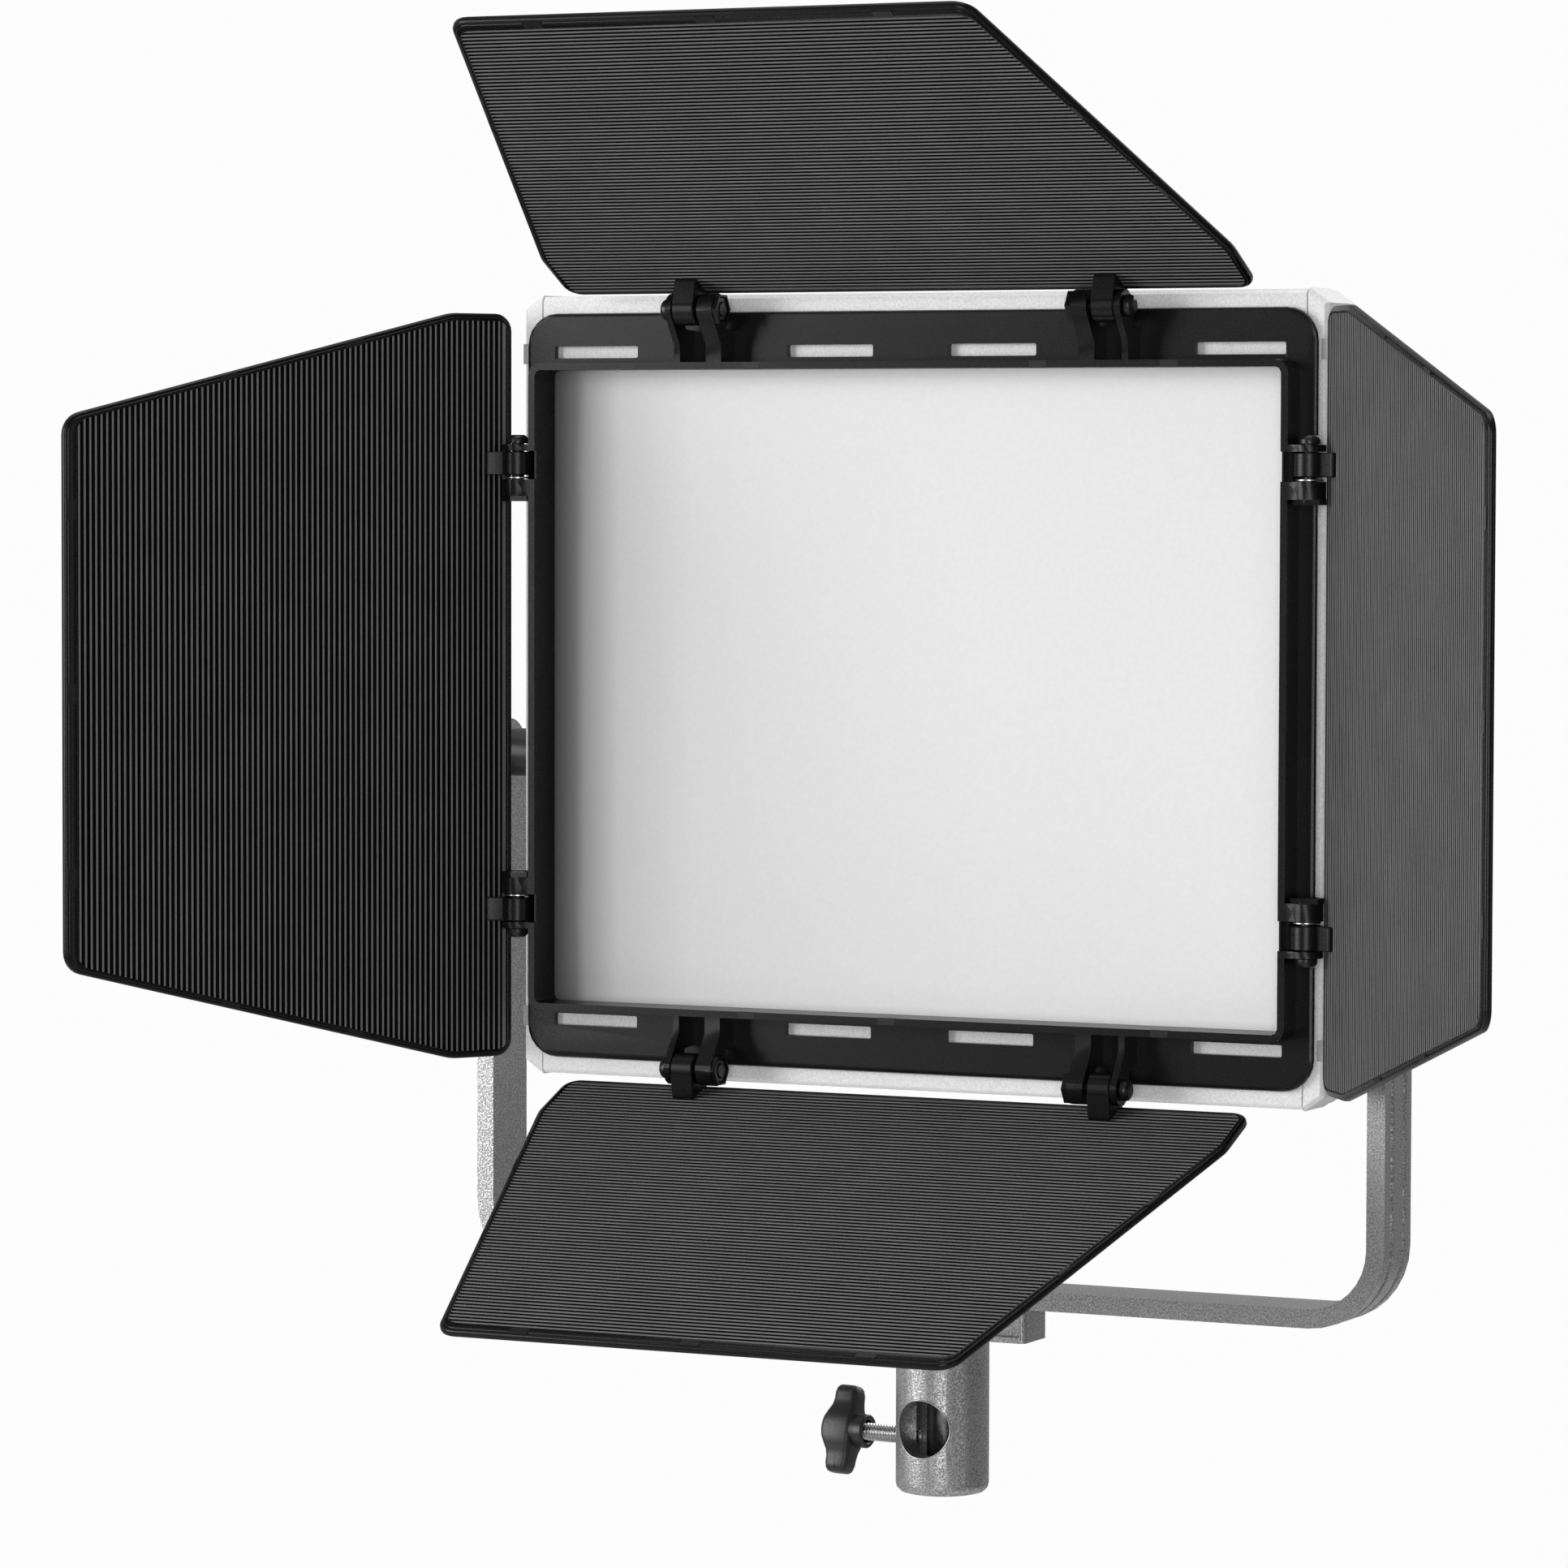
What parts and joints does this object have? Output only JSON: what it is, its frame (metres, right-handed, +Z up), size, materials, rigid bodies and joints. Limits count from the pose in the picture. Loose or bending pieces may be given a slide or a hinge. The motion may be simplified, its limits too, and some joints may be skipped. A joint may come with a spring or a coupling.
{
  "type": "led panel light with barn doors",
  "caption": "Flat LED panel studio light with four hinged ribbed barn-door leaves, a flat-bar U yoke with tilt knobs and a stand socket with a locking screw.",
  "frame": {"origin": "centre of the stand socket's open mouth, at its lower rim", "axes": "+Z up along the socket, -Y the way the lit face looks, +X along the yoke bar to the right of someone facing the lit face from the front with the picture's left at -X"},
  "size_m": [0.4472, 0.1928, 0.4431],
  "materials": {
    "white_shell": "satin white powder coat",
    "diffuser": "milky diffusing sheet with a fine pebble",
    "board": "white solder mask",
    "heat_sink": "bare extrusion",
    "circuit_board": "green solder mask",
    "black_plastic": "satin moulded nylon",
    "gloss_black": "gloss",
    "display": "dark display window",
    "inlet": "moulded inlet",
    "barndoor_black": "satin black moulding",
    "ribbed_leaf": "fine speckled black, ribbed",
    "black_screw": "black oxide",
    "steel": "zinc plated",
    "hammered_silver": "hammered silver-grey paint"
  },
  "bodies": {
    "yoke": {"yoke_bar": "hammered_silver", "yoke_block": "hammered_silver", "socket_bolt": "steel", "stand_socket": "hammered_silver"},
    "lock_screw_slide": {"lock_screw": "steel"},
    "lock_handle_turn": {"lock_handle": "black_plastic"},
    "head": {"casing_top_rail": "white_shell", "casing_bottom_rail": "white_shell", "casing_left_cap": "white_shell", "casing_right_cap": "white_shell", "rear_cover": "white_shell", "diffuser_panel": "diffuser", "led_board": "board", "heat_sink": "heat_sink", "driver_board": "circuit_board", "control_panel": "black_plastic", "display_window": "display", "power_inlet": "inlet", "tilt_boss_left": "black_plastic", "tilt_boss_right": "black_plastic"},
    "left_tilt_knob": {"tilt_knob_left": "black_plastic", "tilt_stud_left": "steel"},
    "right_tilt_knob": {"tilt_knob_right": "black_plastic", "tilt_stud_right": "steel"},
    "dimmer": {"dimmer_knob": "black_plastic"},
    "colour": {"colour_knob": "black_plastic"},
    "mode": {"mode_button": "black_plastic"},
    "power": {"power_switch": "gloss_black"},
    "barndoors": {"barndoor_frame": "barndoor_black", "hinge_screw_top_left": "black_screw", "hinge_screw_top_right": "black_screw", "hinge_screw_bottom_left": "black_screw", "hinge_screw_bottom_right": "black_screw", "hinge_screw_left_upper": "black_screw", "hinge_screw_left_lower": "black_screw", "hinge_screw_right_upper": "black_screw", "hinge_screw_right_lower": "black_screw", "hinge_nut_top_left": "steel", "hinge_nut_top_right": "steel", "hinge_nut_bottom_left": "steel", "hinge_nut_bottom_right": "steel", "hinge_nut_left_upper": "steel", "hinge_nut_left_lower": "steel", "hinge_nut_right_upper": "steel", "hinge_nut_right_lower": "steel"},
    "top_leaf": {"top_leaf_frame": "barndoor_black", "top_leaf_panel": "ribbed_leaf"},
    "bottom_leaf": {"bottom_leaf_frame": "barndoor_black", "bottom_leaf_panel": "ribbed_leaf"},
    "left_leaf": {"left_leaf_frame": "barndoor_black", "left_leaf_panel": "ribbed_leaf"},
    "right_leaf": {"right_leaf_frame": "barndoor_black", "right_leaf_panel": "ribbed_leaf"}
  },
  "joints": [
    {"name": "head_tilt", "type": "hinge", "parent": "yoke", "child": "head", "pos_m": [0, -0.0097, 0.2248], "axis": [-1, 0, 0], "range_deg": [-5, 90]},
    {"name": "lock_screw_travel", "type": "slide", "parent": "yoke", "child": "lock_screw_slide", "axis": [0.9969, -0.0785, 0], "range_m": [-0.003, 0.002]},
    {"name": "lock_handle_turn", "type": "hinge", "parent": "lock_screw_slide", "child": "lock_handle_turn", "pos_m": [-0.02991, 0.00235, 0.0163], "axis": [0.9969, -0.0785, 0], "range_deg": [-1080, 720]},
    {"name": "left_tilt_knob_turn", "type": "hinge", "parent": "head", "child": "left_tilt_knob", "pos_m": [-0.158, -0.0097, 0.2248], "axis": [-1, 0, 0], "range_deg": [-360, 0]},
    {"name": "right_tilt_knob_turn", "type": "hinge", "parent": "head", "child": "right_tilt_knob", "pos_m": [0.158, -0.0097, 0.2248], "axis": [1, 0, 0], "range_deg": [-360, 0]},
    {"name": "dimmer_turn", "type": "hinge", "parent": "head", "child": "dimmer", "pos_m": [-0.097, 0.0093, 0.2543], "axis": [0, 1, 0], "continuous": true},
    {"name": "colour_turn", "type": "hinge", "parent": "head", "child": "colour", "pos_m": [-0.067, 0.0093, 0.2543], "axis": [0, 1, 0], "continuous": true},
    {"name": "mode_press", "type": "slide", "parent": "head", "child": "mode", "axis": [0, -1, 0], "range_m": [0, 0.001], "stiffness_N_per_m": 300},
    {"name": "power_rock", "type": "hinge", "parent": "head", "child": "power", "pos_m": [-0.095, 0.0053, 0.1963], "axis": [1, 0, 0], "range_deg": [0, 16]},
    {"name": "barndoors_slide_off", "type": "slide", "parent": "head", "child": "barndoors", "axis": [0, -1, 0], "range_m": [0, 0.03]},
    {"name": "top_leaf_hinge", "type": "hinge", "parent": "barndoors", "child": "top_leaf", "pos_m": [0, -0.0374, 0.3622], "axis": [1, 0, 0], "range_deg": [-71.3, 118.7]},
    {"name": "bottom_leaf_hinge", "type": "hinge", "parent": "barndoors", "child": "bottom_leaf", "pos_m": [0, -0.0374, 0.1304], "axis": [1, 0, 0], "range_deg": [-112.4, 67.6]},
    {"name": "left_leaf_hinge", "type": "hinge", "parent": "barndoors", "child": "left_leaf", "pos_m": [-0.131, -0.032, 0.2463], "axis": [0, 0, 1], "range_deg": [-28.7, 120.3]},
    {"name": "right_leaf_hinge", "type": "hinge", "parent": "barndoors", "child": "right_leaf", "pos_m": [0.131, -0.032, 0.2463], "axis": [0, 0, 1], "range_deg": [-126.3, 22.7]}
  ],
  "couplings": [
    {"joint": "lock_handle_turn", "follows": "lock_screw_travel", "rad_per_m": 6283.2}
  ]
}
